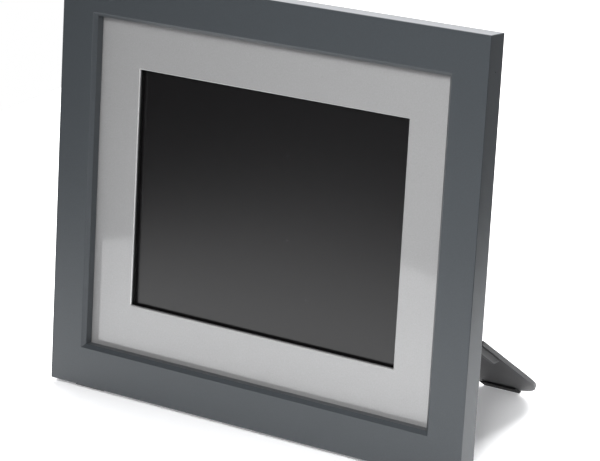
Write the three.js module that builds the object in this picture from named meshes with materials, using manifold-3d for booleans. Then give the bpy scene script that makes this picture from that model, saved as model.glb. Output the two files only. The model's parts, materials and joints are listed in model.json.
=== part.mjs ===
// Digital photo frame: a metal picture frame with a silver mat around an eight-inch display.
// It leans back on two rubber feet and one fold-out leg.
// Units are millimetres. +X is the viewer's right, the picture looks towards -Y, +Z is up, and the
// origin is the middle of the footprint on the table.
//
// Most pieces are drawn in the panel's own coordinates: x to the right, y is the depth behind the
// picture frame's face, z is the height above the frame's bottom edge. The panel then leans back.

import * as THREE from 'three';
import { mergeVertices } from 'three/addons/utils/BufferGeometryUtils.js';
import Module from 'manifold-3d';

const wasm = await Module();
wasm.setup();

// ---- driving dimensions ---------------------------------------------------------------------

const gap = 0.3;                  // clearance between neighbouring pieces

const frameWidth = 254;
const frameHeight = 219;
const frameDepth = 12.4;
const bandSide = 19.6;            // width of the face, left and right
const bandTop = 20.6;             // width of the face, top and bottom
const chamfer = 1.9;              // bevel inside the face's inner edge
const edgeRound = 0.5;            // small bevel on the outer edges
const pocketFloor = 6.8;          // depth of the ledge that the mat lies on
const pocketWall = 9.5;           // thickness of the outer wall around the rear pocket

const matThickness = 1.2;
const windowWidth = 162.2;
const windowHeight = 124.1;

const leanAngle = 8;              // how far the panel leans back, degrees
const tableClearance = 0.8;       // height of the frame's lowest edge above the table
const legSlope = 38.6;            // the open leg's slope below the horizontal, degrees

const moduleWidth = 183;          // the display module's outline
const moduleHeight = 141;

const coverWidth = 224;           // the tub of the rear cover
const coverHeight = 195;
const coverBack = 31;             // depth of its rear face
const coverWall = 2;
const coverCorner = 8;

const boardFront = 19.3;          // the main circuit board
const boardThickness = 1.6;

const legWidth = 59;
const legThickness = 2.2;
const legMiddle = 82;             // x of the leg's centre line
const legCorner = 26;             // radius of the leg's rounded end
const legFlange = 3;              // depth of the ribs beside the leg's root
const barrelRadius = 4;
const pinRadius = 1.5;
const pivotHeight = 62.7;         // height of the leg's hinge above the frame's bottom edge

const screwRadius = 1;
const screwHole = screwRadius + gap;
const headRadius = 2.1;
const headThickness = 1.3;

const buttonRadius = 4.5;
const buttonPitch = 16;
const buttonNames = ['power', 'menu', 'previous', 'next', 'enter'];
const buttonHeight = 191;

const lean = THREE.MathUtils.degToRad(leanAngle);
const middleHeight = frameHeight / 2;
const matFront = pocketFloor + gap;
const matBack = matFront + matThickness;
const pocketHalfWidth = frameWidth / 2 - pocketWall;
const coverInside = coverBack - coverWall;
const boardBack = boardFront + boardThickness;
const onBoard = boardBack + gap;
const panelRise = tableClearance + frameDepth * Math.sin(lean);
const pivotDepth = coverBack + barrelRadius + 0.5;

// ---- shapes ---------------------------------------------------------------------------------

// A box given by its lowest and highest value along each axis.
function block([x0, x1], [y0, y1], [z0, z1]) {
  return new THREE.BoxGeometry(x1 - x0, y1 - y0, z1 - z0)
    .translate((x0 + x1) / 2, (y0 + y1) / 2, (z0 + z1) / 2);
}

// An outline in x and z, cut from a sheet that lies between two depths.
function sheet(outline, front, back) {
  return new THREE.ExtrudeGeometry(outline, { depth: back - front, bevelEnabled: false, curveSegments: 6 })
    .rotateX(Math.PI / 2)
    .translate(0, back, 0);
}

// An outline in y and z, drawn as a bar between two x values.
function bar(outline, x0, x1) {
  return new THREE.ExtrudeGeometry(outline, { depth: x1 - x0, bevelEnabled: false, curveSegments: 8 })
    .rotateY(Math.PI / 2)
    .rotateX(Math.PI / 2)
    .translate(x0, 0, 0);
}

// A round bar along y from one depth to another.
function post(x, z, radius, front, back, sides = 16) {
  return new THREE.CylinderGeometry(radius, radius, back - front, sides)
    .translate(x, (front + back) / 2, z);
}

// A round bar along x.
function rod(y, z, radius, x0, x1, sides = 16) {
  return new THREE.CylinderGeometry(radius, radius, x1 - x0, sides)
    .rotateZ(Math.PI / 2)
    .translate((x0 + x1) / 2, y, z);
}

// A rectangle with round corners, given by its centre and size.
function roundedRectangle(x, z, width, height, radius) {
  const shape = new THREE.Shape();
  const a = width / 2 - radius;
  const b = height / 2 - radius;
  shape.absarc(x + a, z + b, radius, 0, Math.PI / 2);
  shape.absarc(x - a, z + b, radius, Math.PI / 2, Math.PI);
  shape.absarc(x - a, z - b, radius, Math.PI, 1.5 * Math.PI);
  shape.absarc(x + a, z - b, radius, 1.5 * Math.PI, 2 * Math.PI);
  shape.closePath();
  return shape;
}

function polygon(points) {
  return new THREE.Shape(points.map(([a, b]) => new THREE.Vector2(a, b)));
}

// A rectangle around the middle of the picture, as a sheet.
function centredSheet(width, height, front, back) {
  return block([-width / 2, width / 2], [front, back], [middleHeight - height / 2, middleHeight + height / 2]);
}

// Four-sided taper around the middle of the picture, from one size to another.
function taper([width0, height0], [width1, height1], front, back) {
  const geometry = new THREE.CylinderGeometry(Math.SQRT1_2, Math.SQRT1_2, back - front, 4, 1)
    .rotateY(Math.PI / 4)
    .translate(0, (front + back) / 2, 0);
  const place = geometry.getAttribute('position');
  for (let i = 0; i < place.count; i += 1) {
    const atBack = place.getY(i) > (front + back) / 2;
    place.setX(i, place.getX(i) * (atBack ? width1 : width0));
    place.setZ(i, place.getZ(i) * (atBack ? height1 : height0) + middleHeight);
  }
  return geometry;
}

// ---- joining and cutting --------------------------------------------------------------------

function toSolid(geometry) {
  const bare = geometry.clone();
  bare.deleteAttribute('normal');
  bare.deleteAttribute('uv');
  const merged = mergeVertices(bare, 1e-4);
  return new wasm.Manifold(new wasm.Mesh({
    numProp: 3,
    vertProperties: new Float32Array(merged.getAttribute('position').array),
    triVerts: new Uint32Array(merged.getIndex().array),
  }));
}

function toGeometry(solid) {
  const { vertProperties, triVerts } = solid.getMesh();
  const geometry = new THREE.BufferGeometry();
  geometry.setAttribute('position', new THREE.BufferAttribute(new Float32Array(vertProperties), 3));
  geometry.setIndex(new THREE.BufferAttribute(new Uint32Array(triVerts), 1));
  geometry.computeVertexNormals();
  return geometry;
}

function cut(geometry, ...tools) {
  return toGeometry(tools.reduce((solid, tool) => solid.subtract(toSolid(tool)), toSolid(geometry)));
}

function join(first, ...others) {
  return toGeometry(others.reduce((solid, other) => solid.add(toSolid(other)), toSolid(first)));
}

// ---- materials and the scene graph ----------------------------------------------------------

function finish(color, roughness, metalness = 0) {
  return new THREE.MeshStandardMaterial({ color, roughness, metalness });
}

const metals = {
  frame: () => finish(0x6a7075, 0.38, 0.8),
  mat: () => finish(0xb4b7b9, 0.3, 0.7),
  steel: () => finish(0xb9bcc0, 0.35, 1),
  zinc: () => finish(0x8f9296, 0.4, 1),
};
const plastics = {
  cover: () => finish(0x2e2f31, 0.7),
  leg: () => finish(0x434345, 0.6),
  key: () => finish(0x505255, 0.5),
  socket: () => finish(0x1b1b1c, 0.5),
  sheet: () => finish(0xf1f2ee, 0.4),
};
const others = {
  rubber: () => finish(0x1a1a1a, 0.9),
  foam: () => finish(0x0b0b0b, 1),
  display: () => finish(0x1c1b1c, 0.35),
  board: () => finish(0x1f5a35, 0.5),
  copper: () => finish(0xb5793c, 0.4, 1),
  lamp: () => finish(0xf5f5ff, 0.1),
};

const model = new THREE.Group();
const panel = new THREE.Group();
panel.rotation.x = -lean;
panel.position.z = panelRise;
model.add(panel);

const leg = new THREE.Group();
leg.position.set(legMiddle, pivotDepth, pivotHeight);
leg.rotation.x = -THREE.MathUtils.degToRad(legSlope - leanAngle);
panel.add(leg);

function place(name, geometry, material, parent = panel) {
  const mesh = new THREE.Mesh(geometry, material);
  mesh.name = name;
  parent.add(mesh);
}

// A pan-head screw along y. Its head lies behind the piece that it holds.
function placeScrew(name, x, z, headFront, tip) {
  const head = post(x, z, headRadius, headFront, headFront + headThickness, 16);
  const shank = post(x, z, screwRadius, tip, headFront + 0.1, 10);
  place(name, join(head, shank), metals.steel());
}

// ---- where the fasteners go -----------------------------------------------------------------

const corners = [[-1, -1, 'low_left'], [1, -1, 'low_right'], [-1, 1, 'top_left'], [1, 1, 'top_right']];
const coverScrews = corners.map(([side, end, where]) => ({
  where, x: side * (coverWidth / 2 + 2.6), z: middleHeight + end * 78,
}));
const clampScrews = corners.map(([side, end, where]) => ({
  where, x: side * 107.4, z: middleHeight + end * 24,
}));
const boardScrews = [{ where: 'low', x: -87, z: 94 }, { where: 'top', x: -87, z: 122 }];
const hingeScrews = [{ where: 'left', x: legMiddle - 20, z: 51 }, { where: 'right', x: legMiddle + 20, z: 51 }];

// ---- picture frame and mat ------------------------------------------------------------------

function makeFrontFrame() {
  const openWidth = frameWidth - 2 * bandSide;
  const openHeight = frameHeight - 2 * bandTop;
  const throatWidth = openWidth - 2 * chamfer;
  const throatHeight = openHeight - 2 * chamfer;
  const small = [frameWidth - 2 * edgeRound, frameHeight - 2 * edgeRound];
  const full = [frameWidth, frameHeight];
  const body = join(
    taper(small, full, 0, edgeRound),
    taper(full, full, edgeRound, frameDepth - edgeRound),
    taper(full, small, frameDepth - edgeRound, frameDepth),
  );
  const bevel = taper(
    [openWidth + 2, openHeight + 2], [throatWidth, throatHeight], -1, chamfer,
  );
  const throat = centredSheet(throatWidth, throatHeight, chamfer - 1, frameDepth);
  const pocket = centredSheet(
    frameWidth - 2 * pocketWall, frameHeight - 2 * pocketWall + 0.4, pocketFloor, frameDepth + 1,
  );
  const pilots = [...coverScrews, ...clampScrews].map(({ x, z }) => post(x, z, screwHole, 2.6, 8, 10));
  place('front_frame', cut(body, bevel, throat, pocket, ...pilots), metals.frame());
}

function makeMatPlate() {
  const width = 2 * (pocketHalfWidth - 0.4);
  const plate = centredSheet(width, width - frameWidth + frameHeight, matFront, matBack);
  const opening = centredSheet(windowWidth, windowHeight, matFront - 1, matBack + 1);
  const holes = [...coverScrews, ...clampScrews]
    .map(({ x, z }) => post(x, z, screwHole, matFront - 1, matBack + 1, 10));
  place('mat_plate', cut(plate, opening, ...holes), metals.mat());
}

// ---- display module -------------------------------------------------------------------------

function makeDisplay() {
  const gasketFront = matBack + gap;
  const gasketBack = gasketFront + 0.8;
  const bezelFront = gasketBack + gap;
  const bezelPlate = bezelFront + 0.5;
  const glassFront = bezelPlate + gap;
  const glassBack = glassFront + 1.5;
  const sheetFront = glassBack + gap;
  const sheetBack = sheetFront + 0.4;
  const guideFront = sheetBack + gap;
  const guideBack = guideFront + 3;
  const trayFront = guideBack + gap;
  const trayBack = trayFront + 1;
  const skirt = 0.6;

  place('lcd_gasket', cut(
    centredSheet(moduleWidth - 5, moduleHeight - 1, gasketFront, gasketBack),
    centredSheet(windowWidth + 0.6, windowHeight + 0.6, gasketFront - 1, gasketBack + 1),
  ), others.foam());

  place('lcd_bezel', cut(
    centredSheet(moduleWidth, moduleHeight, bezelFront, guideBack),
    centredSheet(moduleWidth - 2 * skirt, moduleHeight - 2 * skirt, bezelPlate, guideBack + 1),
    centredSheet(windowWidth + 1.6, windowHeight + 1.6, bezelFront - 1, bezelPlate + 1),
  ), metals.steel());

  place('lcd_glass', centredSheet(moduleWidth - 3, moduleHeight - 3, glassFront, glassBack), others.display());
  place('optical_sheets', centredSheet(moduleWidth - 4, moduleHeight - 4, sheetFront, sheetBack),
    plastics.sheet());

  const lampHeight = middleHeight + moduleHeight / 2 - 5.5;
  const lampDepth = (guideFront + guideBack) / 2;
  const guideTop = lampHeight - 3.2;
  const guideBottom = middleHeight - moduleHeight / 2 + 2.5;
  place('light_guide', block([-88, 88], [guideFront, guideBack], [guideBottom, guideTop]), plastics.sheet());
  place('backlight_lamp', rod(lampDepth, lampHeight, 1, -85, 85, 12), others.lamp());
  place('lamp_reflector', cut(
    block([-87, 87], [guideFront, guideBack], [guideTop + gap, lampHeight + 2.2]),
    block([-88, 88], [guideFront + 0.2, guideBack - 0.2], [guideTop - 1, lampHeight + 2]),
  ), metals.steel());
  place('lcd_tray', centredSheet(moduleWidth - 0.6, moduleHeight - 0.6, trayFront, trayBack), metals.steel());

  return trayBack;
}

// A Z-shaped clip on each side presses the module and the mat against the frame's ledge.
function makeClamps(trayBack) {
  const foot = matBack + gap;
  const back = trayBack + gap;
  const metal = 1.2;
  const web = moduleWidth / 2 + 1.2;
  const heel = coverWidth / 2 - coverWall - 1;
  const reach = web - 12;
  for (const [side, where] of [[-1, 'left'], [1, 'right']]) {
    const outline = [
      [heel, foot], [heel, foot + metal], [web + metal, foot + metal], [web + metal, back + metal],
      [reach, back + metal], [reach, back], [web, back], [web, foot],
    ].map(([x, y]) => [side * x, y]);
    const profile = polygon(side < 0 ? outline : outline.reverse());
    const strip = new THREE.ExtrudeGeometry(profile, { depth: 66, bevelEnabled: false })
      .translate(0, 0, middleHeight - 33);
    const holes = [...clampScrews, ...boardScrews].map(({ x, z }) => post(x, z, screwHole, 0, 30, 10));
    place(`lcd_clamp_${where}`, cut(strip, ...holes), metals.zinc());
  }
  for (const { where, x, z } of clampScrews) {
    placeScrew(`clamp_screw_${where}`, x, z, foot + metal + gap, 3);
  }
}

function makeRibbonCable(trayBack) {
  const near = trayBack + gap;
  const outline = polygon([
    [near, 46], [near + 0.4, 46], [near + 0.4, 71.6], [boardFront - gap, 71.6], [boardFront - gap, 72],
    [near, 72],
  ]);
  place('lcd_ribbon_cable', bar(outline, -38, -12), others.copper());
}

// ---- circuit boards -------------------------------------------------------------------------

function makeMainBoard() {
  const board = block([-106, 14], [boardFront, boardBack], [66, 160]);
  const holes = boardScrews.map(({ x, z }) => post(x, z, screwHole, boardFront - 1, boardBack + 1, 10));
  place('main_board', cut(board, ...holes), others.board());
  place('processor_chip', block([-60, -36], [onBoard, onBoard + 2], [104, 128]), plastics.socket());
  place('memory_chip', block([-24, -2], [onBoard, onBoard + 1.2], [110, 121]), plastics.socket());
  place('flash_chip', block([-62, -44], [onBoard, onBoard + 1.2], [78, 90]), plastics.socket());
  place('capacitor', post(-8, 84, 4, onBoard, onBoard + 6.4, 20), metals.steel());
  place('coin_cell', post(-22, 146, 8, onBoard, onBoard + 2.6, 24), metals.steel());
  for (const { where, x, z } of boardScrews) {
    placeScrew(`board_screw_${where}`, x, z, onBoard, boardFront - 1.6);
  }
}

// The sockets stand at the board's left edge and open through the cover's side wall.
const socketFace = -(coverWidth / 2 - coverWall - 0.6);
const cardSlot = { middle: 140.5, width: 24.6, thickness: 2.4 };
const usbPort = { middle: 110.7, width: 12.4, thickness: 4.8 };
const powerInlet = { middle: 84.5, radius: 2.8, depth: onBoard + 3.8 };
const powerSlide = { bottom: 69.6, length: 4, travel: 3, depth: onBoard + 2.2 };

function makeSockets() {
  const slotFront = onBoard + 0.5;
  const halfCard = cardSlot.width / 2;
  place('card_socket', cut(
    block([socketFace, socketFace + 27], [onBoard, onBoard + 3.4], [cardSlot.middle - 14, cardSlot.middle + 14]),
    block([socketFace - 1, socketFace + 24], [slotFront, slotFront + cardSlot.thickness],
      [cardSlot.middle - halfCard, cardSlot.middle + halfCard]),
  ), metals.steel());

  const shell = 0.5;
  const halfUsb = usbPort.width / 2;
  const tongue = block([socketFace + 2, socketFace + 12.6], [onBoard + 1, onBoard + 2.8],
    [usbPort.middle - halfUsb + 0.8, usbPort.middle + halfUsb - 0.8]);
  place('usb_socket', join(cut(
    block([socketFace, socketFace + 13.4], [onBoard, onBoard + usbPort.thickness + 2 * shell],
      [usbPort.middle - halfUsb - shell, usbPort.middle + halfUsb + shell]),
    block([socketFace - 1, socketFace + 12.4], [onBoard + shell, onBoard + shell + usbPort.thickness],
      [usbPort.middle - halfUsb, usbPort.middle + halfUsb]),
  ), tongue), metals.steel());

  const { middle, radius, depth } = powerInlet;
  place('dc_jack', join(cut(
    block([socketFace, socketFace + 13], [onBoard, onBoard + 7.6], [middle - 4.6, middle + 4.6]),
    rod(depth, middle, radius, socketFace - 1, socketFace + 9.5, 20),
  ), rod(depth, middle, 0.9, socketFace + 1.5, socketFace + 10, 10)), plastics.socket());
}

function makePowerSlide() {
  const { bottom, length, depth } = powerSlide;
  place('power_switch_case', block([socketFace + 2.2, socketFace + 6.2], [onBoard, onBoard + 4.4], [66.5, 79.5]),
    plastics.socket());
  const stem = block([-(coverWidth / 2 + 0.4), socketFace + 1.9], [depth - 1, depth + 1], [bottom + 1, bottom + 3]);
  const cap = block([-(coverWidth / 2 + 1.8), -(coverWidth / 2 - 1)], [depth - 1.6, depth + 1.6],
    [bottom, bottom + length]);
  place('power_switch_knob', join(cap, stem), plastics.key());
}

function makeInverter() {
  place('inverter_board', block([-60, 36], [20.6, 22.2], [17, 33]), others.board());
  place('inverter_transformer', block([-48, -26], [22.5, 28.2], [18.5, 31.5]), others.copper());
}

function makeSpeakers() {
  for (const [side, where] of [[-1, 'left'], [1, 'right']]) {
    const x = side * speakerOffset;
    place(`speaker_${where}`, join(
      post(x, speakerHeight, 14, coverInside - gap - 2.2, coverInside - gap, 28),
      post(x, speakerHeight, 8.5, coverInside - gap - 6, coverInside - gap - 1, 20),
    ), metals.zinc());
  }
}

// ---- control keys ---------------------------------------------------------------------------

const keyBoardFront = 20.4;
const keyBoardBack = keyBoardFront + 1.2;
const keyFoot = 26.2;             // front end of the button's stem
const keyPlaces = buttonNames.map((name, i) => ({ name, x: -92 + i * buttonPitch }));

function makeKeys() {
  const left = keyPlaces[0].x - 9;
  const right = keyPlaces[keyPlaces.length - 1].x + 9;
  place('key_board', block([left, right], [keyBoardFront, keyBoardBack], [buttonHeight - 6, buttonHeight + 6]),
    others.board());
  for (const { name, x } of keyPlaces) {
    const body = block([x - 3, x + 3], [keyBoardBack + gap, keyFoot - 1.5], [buttonHeight - 3, buttonHeight + 3]);
    const plunger = post(x, buttonHeight, 1.6, keyFoot - 2, keyFoot - 0.9, 12);
    place(`key_switch_${name}`, join(body, plunger), plastics.socket());
    place(`button_${name}`, join(
      post(x, buttonHeight, 1.8, keyFoot, coverInside - 1.4, 12),
      post(x, buttonHeight, buttonRadius + 1.2, coverInside - 1.8, coverInside - gap, 24),
      post(x, buttonHeight, buttonRadius, coverInside - 1, coverBack + 1.2, 24),
    ), plastics.key());
  }
}

// ---- rear cover -----------------------------------------------------------------------------

const speakerOffset = 86;
const speakerHeight = 33;
const keyholes = [-60, 60];
const keyholeHeight = 168;
const keyholeRim = 1;             // the cover is this much thicker around each keyhole

// A keyhole: a round head opening with a narrow slot above it.
function keyhole(x, headHole, slotWidth, front, back) {
  return join(
    post(x, keyholeHeight, headHole, front, back, 20),
    block([x - slotWidth / 2, x + slotWidth / 2], [front, back], [keyholeHeight, keyholeHeight + 11]),
  );
}

function coverOpenings() {
  const outside = coverBack + keyholeRim + 1;
  const tools = [];
  for (let i = 0; i < 11; i += 1) {
    const x = 18 + i * 7;
    tools.push(block([x - 1.2, x + 1.2], [coverInside - 1, outside], [183, 198]));
  }
  for (const side of [-1, 1]) {
    for (let i = -2; i <= 2; i += 1) {
      const x = side * speakerOffset + 4.2 * i;
      const half = Math.sqrt(12 ** 2 - (4.2 * i) ** 2);
      tools.push(block([x - 1, x + 1], [coverInside - 1, outside], [speakerHeight - half, speakerHeight + half]));
    }
  }
  for (const { x } of keyPlaces) {
    tools.push(post(x, buttonHeight, buttonRadius + gap, coverInside - 1, outside, 24));
  }
  for (const x of keyholes) {
    tools.push(keyhole(x, 4.8, 4.6, coverInside - 1, outside));
  }
  for (const { x, z } of hingeScrews) {
    tools.push(post(x, z, screwHole, coverInside - 1, outside, 10));
  }
  return tools;
}

function portOpenings() {
  const wall = [-coverWidth / 2 - 1, -coverWidth / 2 + coverWall + 1];
  const halfCard = cardSlot.width / 2 + 0.4;
  const halfUsb = usbPort.width / 2 + 0.7;
  const { bottom, length, travel, depth } = powerSlide;
  return [
    block(wall, [onBoard, onBoard + 3.2], [cardSlot.middle - halfCard, cardSlot.middle + halfCard]),
    block(wall, [onBoard - 0.2, onBoard + 6], [usbPort.middle - halfUsb, usbPort.middle + halfUsb]),
    rod(powerInlet.depth, powerInlet.middle, powerInlet.radius + 0.6, wall[0], wall[1], 20),
    block(wall, [depth - 2, depth + 2], [bottom - 0.4, bottom + length + travel + 0.4]),
  ];
}

function makeRearCover() {
  const flangeFront = frameDepth - 1.7;
  const flangeWidth = 2 * (pocketHalfWidth - 0.4);
  const flange = centredSheet(flangeWidth, flangeWidth - frameWidth + frameHeight, flangeFront, frameDepth - 0.2);
  const tub = sheet(
    roundedRectangle(0, middleHeight, coverWidth, coverHeight, coverCorner), flangeFront, coverBack,
  );
  const rims = keyholes.map((x) => sheet(
    roundedRectangle(x, keyholeHeight + 3, 18, 28, 4), coverInside + 1, coverBack + keyholeRim,
  ));
  const inside = sheet(roundedRectangle(
    0, middleHeight, coverWidth - 2 * coverWall, coverHeight - 2 * coverWall, coverCorner - coverWall,
  ), flangeFront - 1, coverInside);
  const holes = coverScrews.map(({ x, z }) => post(x, z, screwHole, flangeFront - 1, frameDepth + 1, 10));
  place('rear_cover', cut(join(flange, tub, ...rims), inside, ...holes, ...coverOpenings(), ...portOpenings()),
    plastics.cover());
  for (const { where, x, z } of coverScrews) {
    placeScrew(`cover_screw_${where}`, x, z, frameDepth + 0.1, 3);
  }
}

function makeHangers() {
  const back = coverInside - gap;
  keyholes.forEach((x, i) => {
    const plate = block([x - 11, x + 11], [back - 1, back], [keyholeHeight - 9, keyholeHeight + 17]);
    place(`hanger_plate_${i === 0 ? 'left' : 'right'}`, cut(plate, keyhole(x, 4.8, 4.6, back - 2, back + 1)),
      metals.steel());
  });
}

// ---- leg and hinge --------------------------------------------------------------------------

const barrelHalf = 10;            // half length of the leg's hinge barrel
const earThickness = 5;
const slope = THREE.MathUtils.degToRad(legSlope);
const soleDrop = legThickness / 2 + 1;    // the rubber sole lies this far below the leg's middle
const pivotRise = panelRise + pivotHeight * Math.cos(lean) - pivotDepth * Math.sin(lean);
const soleReach = (pivotRise - soleDrop * Math.cos(slope)) / Math.sin(slope);
const legReach = soleReach - 0.9;

function makeHinge() {
  const front = coverBack + gap;
  const base = block([legMiddle - 24, legMiddle + 24], [front, front + 1.5], [46, 55]);
  const ear = new THREE.Shape();
  ear.moveTo(front, 50);
  ear.lineTo(pivotDepth + 1, 50);
  ear.absarc(pivotDepth, pivotHeight, barrelRadius - 0.2, -Math.PI / 4, Math.PI / 2);
  ear.lineTo(front, pivotHeight + barrelRadius - 0.2);
  ear.closePath();
  const inner = barrelHalf + 0.5;
  const ears = [-1, 1].map((side) => {
    const edges = [side * inner, side * (inner + earThickness)].sort((a, b) => a - b);
    return bar(ear, legMiddle + edges[0], legMiddle + edges[1]);
  });
  const pinHole = rod(pivotDepth, pivotHeight, pinRadius + gap, legMiddle - 30, legMiddle + 30, 20);
  const holes = hingeScrews.map(({ x, z }) => post(x, z, screwHole, front - 1, front + 3, 10));
  place('hinge_bracket', cut(join(base, ...ears), pinHole, ...holes), metals.zinc());
  place('hinge_pin', rod(pivotDepth, pivotHeight, pinRadius, legMiddle - 17, legMiddle + 17, 20), metals.steel());
  for (const { where, x, z } of hingeScrews) {
    placeScrew(`hinge_screw_${where}`, x, z, front + 1.8, coverInside - 3);
  }
}

// In the leg's own coordinates y runs from the hinge to the foot and z is the side away from the table.
function makeLeg() {
  const half = legWidth / 2;
  const rootStart = 5.5;
  const rim = legThickness / 2;
  const outline = new THREE.Shape();
  outline.moveTo(-half, rootStart);
  outline.lineTo(half, rootStart);
  outline.absarc(half - legCorner, legReach - legCorner, legCorner, 0, Math.PI / 2);
  outline.absarc(-half + legCorner, legReach - legCorner, legCorner, Math.PI / 2, Math.PI);
  outline.closePath();
  const plate = new THREE.ExtrudeGeometry(outline, { depth: legThickness, bevelEnabled: false, curveSegments: 14 })
    .translate(0, 0, -rim);
  const neck = block([-barrelHalf, barrelHalf], [0, rootStart + 1], [-rim, rim]);
  const barrel = rod(0, 0, barrelRadius, -barrelHalf, barrelHalf, 24);
  const flanges = [-1, 1].map((side) => {
    const profile = polygon([[8, -rim - legFlange], [28, -rim - legFlange], [32, -rim], [32, 0], [8, 0]]);
    const edges = [side * half, side * (half - 2.4)].sort((a, b) => a - b);
    return bar(profile, edges[0], edges[1]);
  });
  const bore = rod(0, 0, pinRadius + gap, -barrelHalf - 1, barrelHalf + 1, 20);
  place('leg', cut(join(plate, neck, barrel, ...flanges), bore), plastics.leg(), leg);
}

// A rubber cap clips over the leg's end. Its sole is cut level with the table.
function makeLegPad() {
  const rim = legThickness / 2;
  const flat = 1.5;
  const sole = [soleReach, -soleDrop];
  const heel = [soleReach + flat * Math.cos(slope), -soleDrop + flat * Math.sin(slope)];
  const outline = polygon([
    [legReach - 5, -rim - gap], [legReach - 5, -soleDrop], sole, heel, [heel[0], rim + 1],
    [legReach - 4, rim + 1], [legReach - 4, rim + gap], [legReach + gap, rim + gap],
    [legReach + gap, -rim - gap],
  ]);
  place('leg_pad', bar(outline, -10.7, 10.7), others.rubber(), leg);
}

function makeFeet() {
  const level = (y) => (y * Math.sin(lean) - panelRise) / Math.cos(lean);
  const outline = polygon([[4.5, -gap], [4.5, level(4.5)], [11, level(11)], [11, -gap]]);
  for (const [side, where] of [[-1, 'left'], [1, 'right']]) {
    place(`foot_${where}`, bar(outline, side * 104 - 10, side * 104 + 10), others.rubber());
  }
}

// ---- assembly -------------------------------------------------------------------------------

makeFrontFrame();
makeMatPlate();
const displayBack = makeDisplay();
makeClamps(displayBack);
makeRibbonCable(displayBack);
makeMainBoard();
makeSockets();
makePowerSlide();
makeInverter();
makeSpeakers();
makeKeys();
makeRearCover();
makeHangers();
makeHinge();
makeLeg();
makeLegPad();
makeFeet();

// The origin is the middle of the footprint.
model.updateMatrixWorld(true);
const footprint = new THREE.Box3().setFromObject(model, true);
model.position.y = -(footprint.min.y + footprint.max.y) / 2;
model.updateMatrixWorld(true);

export default model;
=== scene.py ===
import json
import math
import bmesh
import bpy
from mathutils import Matrix, Vector


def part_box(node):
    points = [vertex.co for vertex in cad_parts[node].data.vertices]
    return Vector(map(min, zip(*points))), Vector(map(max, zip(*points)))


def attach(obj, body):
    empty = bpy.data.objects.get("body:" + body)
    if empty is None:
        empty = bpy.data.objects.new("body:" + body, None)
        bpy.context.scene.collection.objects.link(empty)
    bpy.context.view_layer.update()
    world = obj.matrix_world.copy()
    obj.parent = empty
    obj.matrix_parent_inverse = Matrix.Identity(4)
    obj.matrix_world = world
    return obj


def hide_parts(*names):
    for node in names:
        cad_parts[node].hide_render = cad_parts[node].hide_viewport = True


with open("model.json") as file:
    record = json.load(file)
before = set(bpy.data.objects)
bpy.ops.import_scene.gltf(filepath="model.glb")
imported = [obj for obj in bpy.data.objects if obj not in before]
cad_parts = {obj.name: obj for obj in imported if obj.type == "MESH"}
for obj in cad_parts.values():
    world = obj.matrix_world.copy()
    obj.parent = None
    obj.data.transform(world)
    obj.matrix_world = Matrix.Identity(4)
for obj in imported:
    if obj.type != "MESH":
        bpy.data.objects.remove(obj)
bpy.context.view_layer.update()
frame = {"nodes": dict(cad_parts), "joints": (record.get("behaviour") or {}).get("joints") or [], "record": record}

# Where the object stands. The panel leans back by the angle that its keys are pressed along. Pieces
# on the panel are drawn in millimetres: x to the right of its middle, y behind the picture frame's
# face, z up the panel from its middle.
press_axis = frame["joints"][1]["axis"]
lean = math.atan2(press_axis[2], -press_axis[1])
frame_depth = 12.4
frame_low, frame_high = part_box("front_frame")
on_panel = (
    Matrix.Translation((frame_low + frame_high) / 2)
    @ Matrix.Rotation(-lean, 4, "X")
    @ Matrix.Scale(0.001, 4)
    @ Matrix.Translation((0, -frame_depth / 2, 0))
)

# Camera: a long lens a little over a metre away. It looks at the panel from the right and from
# above, and it is rolled slightly. Its reach is in metres.
camera_reach = 1.3255
camera_turn = math.radians(35.30)
camera_rise = math.radians(20.156)
camera_roll = math.radians(1.55)
camera_target = on_panel @ Vector((26.9, 0, -1.4))

camera_data = bpy.data.cameras.new("camera")
camera_data.lens = 162.12
camera_data.sensor_width = 36
camera_data.clip_start = 0.05
camera_data.clip_end = 50
camera = bpy.data.objects.new("camera", camera_data)
bpy.context.scene.collection.objects.link(camera)
bpy.context.scene.camera = camera
camera.matrix_world = (
    Matrix.Translation(camera_target)
    @ Matrix.Rotation(camera_turn, 4, "Z")
    @ Matrix.Rotation(math.pi / 2 - camera_rise, 4, "X")
    @ Matrix.Rotation(-camera_roll, 4, "Z")
    @ Matrix.Translation((0, 0, camera_reach))
)


# Studio table: a sheet of translucent white acrylic, lit a little from below, its sizes in metres.
# Its front left corner is cut away at an angle, and the object's glossy faces mirror that edge.
def linear(hex_colour):
    """An sRGB hex colour as the linear RGBA that a shader socket takes."""
    parts = [int(hex_colour[i:i + 2], 16) / 255 for i in (1, 3, 5)]
    return tuple(c / 12.92 if c <= 0.04045 else ((c + 0.055) / 1.055) ** 2.4 for c in parts) + (1,)


def add_node(tree, kind, links=None, **settings):
    """Adds one node. Links and settings name its input sockets, or its own properties."""
    node = tree.nodes.new(kind)
    for name, value in settings.items():
        socket = node.inputs.get(name.replace("_", " "))
        if socket is None:
            setattr(node, name, value)
        else:
            socket.default_value = value
    for name, source in (links or {}).items():
        tree.links.new(source, node.inputs[name])
    return node


def new_look(name):
    """An empty material, its node tree, and the object coordinates that its patterns follow."""
    material = bpy.data.materials.new(name)
    material.use_nodes = True
    tree = material.node_tree
    tree.nodes.clear()
    return material, tree, add_node(tree, "ShaderNodeTexCoord").outputs["Object"]


def finish_look(tree, links, **settings):
    """Ends a node tree in a Principled shader, with constant settings on its own sockets."""
    shader = add_node(tree, "ShaderNodeBsdfPrincipled", links, **settings)
    add_node(tree, "ShaderNodeOutputMaterial", {"Surface": shader.outputs["BSDF"]})


sheet_left = -0.462
sheet_right = 0.265
sheet_back = 4.0
sheet_front = -1.3
cut_front = -0.80
cut_right = -0.15
cut_slope = 0.62

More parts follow.
